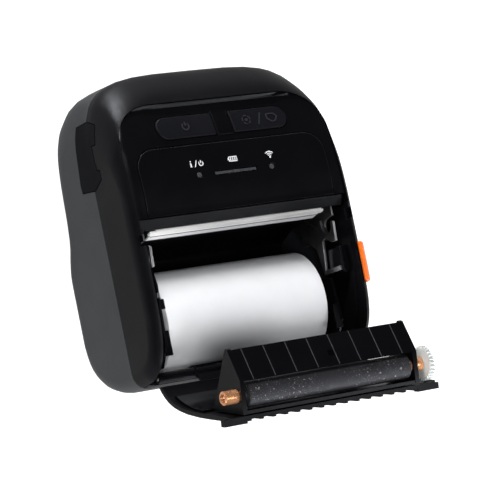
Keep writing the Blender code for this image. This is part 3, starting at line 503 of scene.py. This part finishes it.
def make_camera():
    data = bpy.data.cameras.new("camera")
    data.sensor_width = SENSOR_MM
    data.lens = LENS_MM
    data.clip_start = CLIP_START
    data.clip_end = CLIP_END
    camera = add_object("camera", data)
    matrix = Matrix.Identity(4)
    for row in range(3):
        matrix[row][0] = CAMERA_RIGHT[row]
        matrix[row][1] = -CAMERA_DOWN[row]
        matrix[row][2] = -CAMERA_FORWARD[row]
    matrix.translation = CAMERA_PLACE
    camera.matrix_world = matrix
    bpy.context.scene.camera = camera


def area_light(name, place, target, size, watts):
    data = bpy.data.lights.new(name, "AREA")
    data.shape = "RECTANGLE"
    data.size, data.size_y = size
    data.energy = watts
    light = add_object(name, data)
    light.location = place
    light.rotation_euler = (Vector(target) - Vector(place)).to_track_quat("-Z", "Y").to_euler()


def make_lights():
    bpy.context.scene.view_settings.view_transform = "Standard"
    world = bpy.data.worlds.new("world")
    world.use_nodes = True
    background = world.node_tree.nodes["Background"]
    background.inputs["Color"].default_value = WHITE
    background.inputs["Strength"].default_value = WORLD_GLOW
    bpy.context.scene.world = world
    for lamp in LAMPS:
        area_light(*lamp)


def make_floor():
    """A floor that the camera sees as white, though it lights the printer only a little."""
    mesh = bpy.data.meshes.new("floor")
    bm = bmesh.new()
    bmesh.ops.create_grid(bm, x_segments=1, y_segments=1, size=FLOOR_HALF)
    bm.to_mesh(mesh)
    bm.free()
    floor = add_object("floor", mesh)
    look = Look("floor_sweep", FLOOR_COLOUR, 0.8, specular=0.0)
    look.vary(2, 0.02)
    look.set("Emission Color", WHITE)
    seen = look.add("ShaderNodeLightPath").outputs["Is Camera Ray"]
    look.link(look.remap(seen, 0, 1, *FLOOR_GLOW), look.shader.inputs["Emission Strength"])
    mesh.materials.append(look.done())


# ---------------------------------------------------------------- meshes of added pieces

def new_mesh(name, bm):
    bmesh.ops.recalc_face_normals(bm, faces=bm.faces)
    mesh = bpy.data.meshes.new(name)
    bm.to_mesh(mesh)
    bm.free()
    return mesh


def add_piece(name, mesh, look, body):
    """Links a mesh given in the row frame, and lets it ride on a body."""
    piece = add_object(name, mesh)
    mesh.materials.append(look)
    mesh.shade_smooth()
    mesh.set_sharp_from_angle(angle=math.radians(ADDED_SHARP_DEG))
    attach(piece, body)
    return piece


def add_prism(bm, one, two):
    """A closed solid between two outlines with the same number of points."""
    first = [bm.verts.new(point) for point in one]
    second = [bm.verts.new(point) for point in two]
    bm.faces.new(first)
    bm.faces.new(second[::-1])
    for k in range(len(first)):
        n = (k + 1) % len(first)
        bm.faces.new((first[n], first[k], second[k], second[n]))


def face_plates(name, outlines, look, body, top, foot):
    """Plates over outlines of (x, up) points, which follow the recessed face."""
    bm = bmesh.new()
    for outline in outlines:
        add_prism(bm, *([at(x, up, face_out(up) + height) for x, up in outline]
                        for height in (top, foot)))
    return add_piece(name, new_mesh(name, bm), look, body)


def head_plate(name, outline, look, foot, top):
    """A plate over an outline of (x, along) points, between two distances from the head's face."""
    bm = bmesh.new()
    add_prism(bm, *([on_head(x, along, height) for x, along in outline] for height in (foot, top)))
    return add_piece(name, new_mesh(name, bm), look, "case")


def plate_across(name, outline, reach, look):
    """A plate square to X, over an outline of (up, out) points; reach gives its two ends in X."""
    bm = bmesh.new()
    add_prism(bm, *([at(x, up, out) for up, out in outline] for x in reach))
    return add_piece(name, new_mesh(name, bm), look, "case")


def add_lid_strip(bm, x, outline, width):
    """A rib across the lid, over an outline of (up, out) points given with the lid closed."""
    add_prism(bm, *([on_lid(edge, up, out) for up, out in outline]
                    for edge in (x - width / 2, x + width / 2)))


def bead_mesh(name, path, radius, sides=8):
    """A round bead along points in the row frame, radius in mm."""
    bm = bmesh.new()
    rings = []
    for k, spot in enumerate(path):
        before, after = path[max(k - 1, 0)], path[min(k + 1, len(path) - 1)]
        run = (after - before).normalized()
        side = run.cross(Vector((0, 0, 1))).normalized()
        lift = side.cross(run).normalized()
        rings.append([bm.verts.new(spot + radius * MM * (side * math.cos(a) + lift * math.sin(a)))
                      for a in np.linspace(0, 2 * math.pi, sides, endpoint=False)])
    for one, two in zip(rings, rings[1:]):
        for k in range(sides):
            n = (k + 1) % sides
            bm.faces.new((one[k], one[n], two[n], two[k]))
    bm.faces.new(rings[0][::-1])
    bm.faces.new(rings[-1])
    return new_mesh(name, bm)


# ---------------------------------------------------------------- pictograms

def disc(radius, sides=12):
    return [(radius * math.cos(a), radius * math.sin(a))
            for a in np.linspace(0, 2 * math.pi, sides, endpoint=False)]


def arc(radius, width, start, end, steps=20):
    """A curved stroke round (0, 0), between two angles in degrees."""
    angles = np.radians(np.linspace(start, end, steps + 1))
    outer = [((radius + width / 2) * math.cos(a), (radius + width / 2) * math.sin(a)) for a in angles]
    inner = [((radius - width / 2) * math.cos(a), (radius - width / 2) * math.sin(a)) for a in angles]
    return outer + inner[::-1]


def stroke(a, b, width):
    """A straight stroke between two points."""
    run = Vector((b[0] - a[0], b[1] - a[1])).normalized()
    side = Vector((-run.y, run.x)) * width / 2
    return [(a[0] + side.x, a[1] + side.y), (b[0] + side.x, b[1] + side.y),
            (b[0] - side.x, b[1] - side.y), (a[0] - side.x, a[1] - side.y)]


def placed(sign, centre, degrees=0.0, scale=1.0):
    """A sign's outlines, turned and scaled round (0, 0) and then moved."""
    c, s = math.cos(math.radians(degrees)), math.sin(math.radians(degrees))
    return [[(centre[0] + scale * (x * c - y * s), centre[1] + scale * (x * s + y * c))
             for x, y in outline] for outline in sign]


def info_sign():
    """A dot over a stem with a serif and a foot."""
    return placed([disc(0.31)], (-0.1, 1.25)) + [
        stroke((-0.1, -1.2), (-0.1, 0.65), 0.6), stroke((-0.55, 0.45), (0.1, 0.45), 0.35),
        stroke((-0.6, -1.15), (0.4, -1.15), 0.35)]


def power_sign(width):
    """A ring that is open at the top, with a stroke in the gap."""
    return [arc(1.0, width, 130, 410), stroke((0, 0.15), (0, 1.35), width)]


def battery_sign():
    """A box with a pole at its left end and three bars in it."""
    sides = [((-1.9, 0.95), (1.9, 0.95)), ((-1.9, -0.95), (1.9, -0.95)), ((-1.9, -1.1), (-1.9, 1.1)),
             ((1.9, -1.1), (1.9, 1.1)), ((-2.35, -0.45), (-2.35, 0.45))]
    bars = [stroke((x, -0.62), (x + 0.25, 0.62), 0.5) for x in (-1.2, -0.15, 0.9)]
    return [stroke(a, b, 0.36) for a, b in sides] + bars


def wave_sign():
    """Three arcs over a dot."""
    return [arc(radius, 0.4, 45, 135) for radius in (0.95, 1.75, 2.55)] + [disc(0.4)]


def status_sign():
    """A ring in five parts round a small one."""
    parts = [arc(1.9, 0.45, start, start + 52, 6) for start in range(0, 360, 72)]
    return parts + [arc(0.45, 0.5, 0, 350, 14)]


def paper_sign():
    """The outline of a sheet with its corners cut."""
    sides = [((-2.4, 1.7), (1.2, 1.7)), ((-2.4, 1.7), (-2.4, -0.4)), ((-2.4, -0.4), (-0.2, -2.2)),
             ((1.2, 1.7), (2.6, 0.2)), ((2.6, 0.2), (1.5, -1.6)), ((0.2, -2.0), (1.5, -1.6))]
    return [stroke(a, b, 0.5) for a, b in sides]


def make_panel_signs():
    """Printed pictograms over the three lamps."""
    x, up = -LED_X - 0.4, LED_UP + 4.9
    marks = placed(info_sign(), (x - 2.5, up), -2, 0.95)
    marks += placed([stroke((-0.55, -1.4), (0.55, 1.4), 0.38)], (x - 0.2, up))
    marks += placed(power_sign(0.36), (x + 2.3, up))
    marks += placed(battery_sign(), (-0.2, LED_UP + 5.2))
    marks += placed(wave_sign(), (LED_X + 0.2, LED_UP + 4.0))
    face_plates("panel_signs", marks, looks["ink"], "case",
                top=PANEL_PROUD + 0.05, foot=PANEL_PROUD - 0.1)


def make_key_signs():
    """Raised pictograms on the two keys, in a lighter rubber that is a painted highlight of their
    raised edges.
    """
    power = placed(power_sign(0.34), (-KEY_X, KEY_UP), scale=1.55)
    face_plates("power_key_sign", power, looks["sign"], "power_key",
                top=KEY_PROUD + 0.3, foot=KEY_PROUD - 0.2)
    feed = placed(status_sign(), (KEY_X - 6.6, KEY_UP))
    feed += placed([stroke((-1.1, -2.6), (1.1, 2.6), 0.5)], (KEY_X, KEY_UP))
    feed += placed(paper_sign(), (KEY_X + 6.2, KEY_UP))
    face_plates("feed_key_sign", feed, looks["sign"], "feed_key",
                top=KEY_PROUD + 0.3, foot=KEY_PROUD - 0.2)


# ---------------------------------------------------------------- detail of the front face

def window_path(half, low, top, radius, steps=10):
    """(x, up) points from the lower left, over the top, to the lower right."""
    points = [(-half, low)]
    for centre, start in ((-half + radius, 180), (half - radius, 90)):
        points += [(centre + radius * math.cos(math.radians(a)),
                    top - radius + radius * math.sin(math.radians(a)))
                   for a in np.linspace(start, start - 90, steps + 1)]
    return points + [(half, low)]


def filled(points, reach=1.5):
    """The same path with extra points, so that a long run follows the curved face."""
    full = []
    for a, b in zip(points, points[1:]):
        steps = max(1, int(math.dist(a, b) / reach))
        full += [(a[0] + (b[0] - a[0]) * k / steps, a[1] + (b[1] - a[1]) * k / steps)
                 for k in range(steps)]
    return full + [points[-1]]


def make_panel_bead():
    """The thin raised edge round the panel."""
    outline = filled(window_path(PANEL_HALF, PANEL_LOW, PANEL_TOP, PANEL_CORNER))
    path = [at(x, up, face_out(up) + PANEL_PROUD) for x, up in outline]
    add_piece("panel_bead", bead_mesh("panel_bead", path, BEAD_RADIUS), looks["exit"], "case")


def make_key_bridge():
    """The plate between the keys, with ribs along three of its edges."""
    half, low, top = BRIDGE_HALF, BRIDGE_LOW, BRIDGE_TOP
    outline = [(-half, low), (half, low), (half, top), (-half, top)]
    piece = face_plates("key_bridge", [outline], looks["panel"], "case", top=0.12, foot=-0.5)
    bevel = piece.modifiers.new("bevel", "BEVEL")
    bevel.width = 0.1 * MM
    bevel.segments = BEVEL_SEGMENTS
    ribs = [stroke((-half + 0.4, low + 0.1), (-half + 0.4, top - 0.2), 0.4),
            stroke((-half + 0.2, low + 0.3), (half - 0.1, low + 0.3), 0.4),
            stroke((half - 0.2, top - 0.3), (half - 0.2, top - 2.2), 0.3)]
    face_plates("key_bridge_ribs", ribs, looks["keys"], "case", top=0.5, foot=-0.3)


def make_lamp_notch():
    """A short, wider bar in the middle of the battery lamp."""
    bar = stroke((-1.2, LED_UP - 0.1), (1.2, LED_UP - 0.1), 1.3)
    face_plates("lamp_bar_notch", [bar], looks["lens"], "case", top=-0.05, foot=-0.6)


# ---------------------------------------------------------------- detail of the bay and lid

def make_guide_ribs():
    """Low ribs that the paper slides over, and a stepped dimple, on the plate beside the platen."""
    along = (GUIDE_HIGH - GUIDE_LOW).normalized()
    away = Vector((along.y, -along.x))

    def profile(a, b, proud):
        return [a - away * GUIDE_ROOT, a + away * proud, b + away * proud, b - away * GUIDE_ROOT]

    bm = bmesh.new()
    outline = profile(GUIDE_LOW + along * 0.2, GUIDE_HIGH - along * 0.4, GUIDE_RIB_PROUD)
    for k in range(GUIDE_RIBS):
        add_lid_strip(bm, GUIDE_RIB_FIRST_X + k * GUIDE_RIB_PITCH, outline, GUIDE_RIB_WIDTH)
    add_piece("guide_ribs", new_mesh("guide_ribs", bm), looks["rib"], "lid")
    bm = bmesh.new()
    for half, proud in DIMPLE_STEPS:
        a, b = (GUIDE_LOW + along * (DIMPLE_ALONG + side * half) for side in (-1, 1))
        add_lid_strip(bm, DIMPLE_X, profile(a, b, proud), 2 * half)
    add_piece("guide_dimple", new_mesh("guide_dimple", bm), looks["lid_inner"], "lid")


def make_cheek_bands():
    """A raised band along the inner face of each cheek, beside the lid's seat."""
    inner, outer = CHEEK_INNER - BAND_PROUD, CHEEK_INNER + BAND_ROOT
    plate_across("right_cheek_band", BAND_SIDE, (inner, outer), looks["exit"])
    plate_across("left_cheek_band", BAND_SIDE, (-outer, -inner), looks["exit"])


def make_hinge_shield():
    """A thin wall behind the lid's barrel, which stops light when the lid is shut."""
    low, high = SHIELD_UP
    under, over = SHIELD_OUT
    outline = [(low, under), (high, under), (high, over), (low, over)]
    plate_across("hinge_shield", outline, (-SHIELD_HALF, SHIELD_HALF), looks["inner"])


def make_tear_strip():
    """The serrated strip with deep teeth, and under it a dark strip of painted shade for the groove
    there.
    """
    teeth = int(2 * TEAR_HALF / TOOTH_PITCH)
    start = -teeth * TOOTH_PITCH / 2
    edge = []
    for k in range(teeth):
        x = start + k * TOOTH_PITCH
        edge += [(x, -TOOTH_DEPTH), (x + TOOTH_PITCH / 2, 0.0)]
    edge.append((start + teeth * TOOTH_PITCH, -TOOTH_DEPTH))
    outline = [(TEAR_LEFT, -TEAR_DEPTH), (TEAR_RIGHT, -TEAR_DEPTH), (TEAR_RIGHT, -TOOTH_DEPTH)]
    outline += edge[::-1] + [(TEAR_LEFT, -TOOTH_DEPTH)]
    # The strip takes the steel painted nearly white, a painted reflection of the light.
    strip = head_plate("tear_strip", outline, looks["bright"], foot=-TEAR_THICK, top=0.0)
    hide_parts("tear_bar")
    # Painted shade: a dark strip where the groove under the tear bar lies in shade.
    joint = [(-GROOVE_SHADE_HALF, GROOVE_SHADE_LOW), (GROOVE_SHADE_HALF, GROOVE_SHADE_LOW), (GROOVE_SHADE_HALF, GROOVE_SHADE_TOP),
             (-GROOVE_SHADE_HALF, GROOVE_SHADE_TOP)]
    head_plate("head_groove_shade", joint, looks["inner"], foot=-0.2, top=0.06)


make_camera()
make_lights()
make_floor()
looks = make_looks()
dress_nodes()
make_panel_signs()
make_key_signs()
make_panel_bead()
make_key_bridge()
make_lamp_notch()
make_guide_ribs()
make_cheek_bands()
make_hinge_shield()
make_tear_strip()
